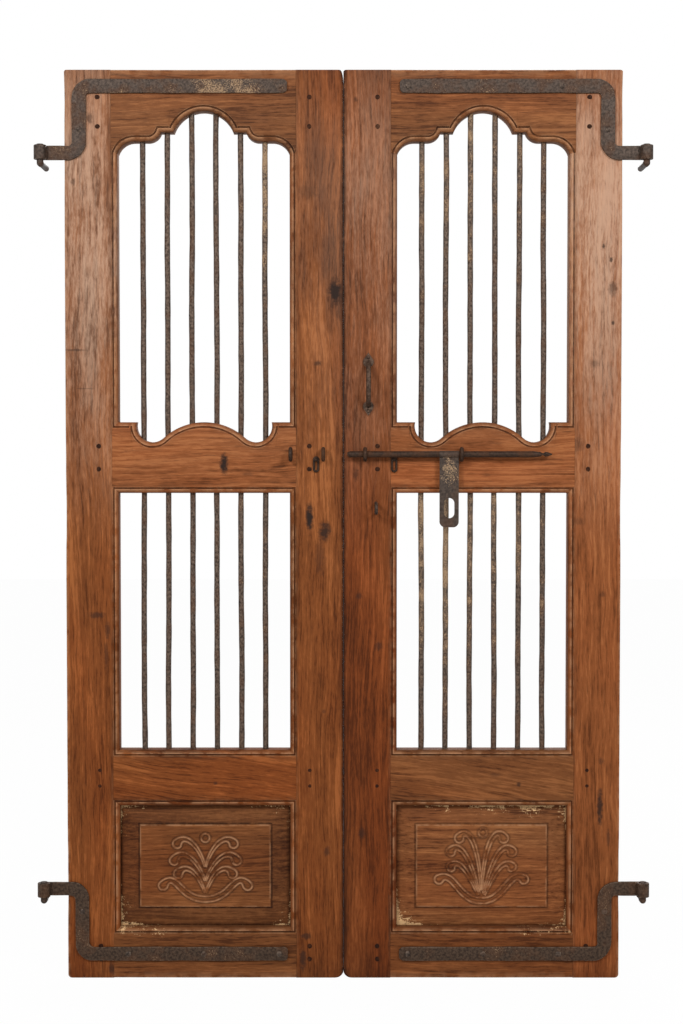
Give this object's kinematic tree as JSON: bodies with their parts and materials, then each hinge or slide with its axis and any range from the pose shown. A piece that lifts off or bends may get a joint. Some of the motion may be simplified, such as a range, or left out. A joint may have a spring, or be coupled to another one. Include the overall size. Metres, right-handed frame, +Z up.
{
  "type": "carved double-leaf temple door",
  "caption": "Old timber double door with barred openings under a cusped arch, carved plant panels, crank strap hinges on pintles, and a sliding bolt with a hasp for a padlock.",
  "frame": {"origin": "middle of the meeting line, at the foot of the leaves, in the middle of their thickness", "axes": "+X to the right seen from the front, +Y from the front to the back, +Z up"},
  "size_m": [1.2826, 0.1142, 1.9],
  "materials": {
    "timber": "aged oiled hardwood",
    "panel_timber": "aged dark hardwood",
    "peg_timber": "dark end grain",
    "iron": "forged, rusted, worn",
    "brown_iron": "forged, brown rust"
  },
  "bodies": {
    "pintles": {"left_upper_pintle": "iron", "left_lower_pintle": "iron", "right_upper_pintle": "iron", "right_lower_pintle": "iron"},
    "left_leaf": {"left_hinge_stile": "timber", "left_meeting_stile": "timber", "left_top_rail": "timber", "left_middle_rail": "timber", "left_lock_rail": "timber", "left_bottom_rail": "timber", "left_carved_panel": "panel_timber", "left_upper_bars": "iron", "left_lower_bars": "iron", "left_tenon_pegs": "peg_timber", "left_upper_strap": "iron", "left_lower_strap": "iron", "left_strap_nails": "iron", "left_bolt_rings": "brown_iron", "left_drop_link": "brown_iron"},
    "right_leaf": {"right_hinge_stile": "timber", "right_meeting_stile": "timber", "right_top_rail": "timber", "right_middle_rail": "timber", "right_lock_rail": "timber", "right_bottom_rail": "timber", "right_carved_panel": "panel_timber", "right_upper_bars": "iron", "right_lower_bars": "iron", "right_tenon_pegs": "peg_timber", "right_upper_strap": "iron", "right_lower_strap": "iron", "right_strap_nails": "iron", "right_bolt_rings": "brown_iron", "right_drop_link": "brown_iron", "lock_staple": "iron", "pull_handle": "iron", "handle_nails": "iron"},
    "bolt": {"slide_bolt": "brown_iron"},
    "hasp": {"hasp": "iron"}
  },
  "joints": [
    {"name": "left_leaf_swing", "type": "hinge", "parent": "pintles", "child": "left_leaf", "pos_m": [-0.628, -0.0333, 0], "axis": [0, 0, -1], "range_deg": [0, 105]},
    {"name": "right_leaf_swing", "type": "hinge", "parent": "pintles", "child": "right_leaf", "pos_m": [0.628, -0.0333, 0], "axis": [0, 0, 1], "range_deg": [0, 105]},
    {"name": "bolt_slide", "type": "slide", "parent": "right_leaf", "child": "bolt", "axis": [-1, 0, 0], "range_m": [0, 0.125]},
    {"name": "hasp_swing", "type": "hinge", "parent": "bolt", "child": "hasp", "pos_m": [0.22, -0.036, 1.103], "axis": [-1, 0, 0], "range_deg": [0, 170]}
  ]
}
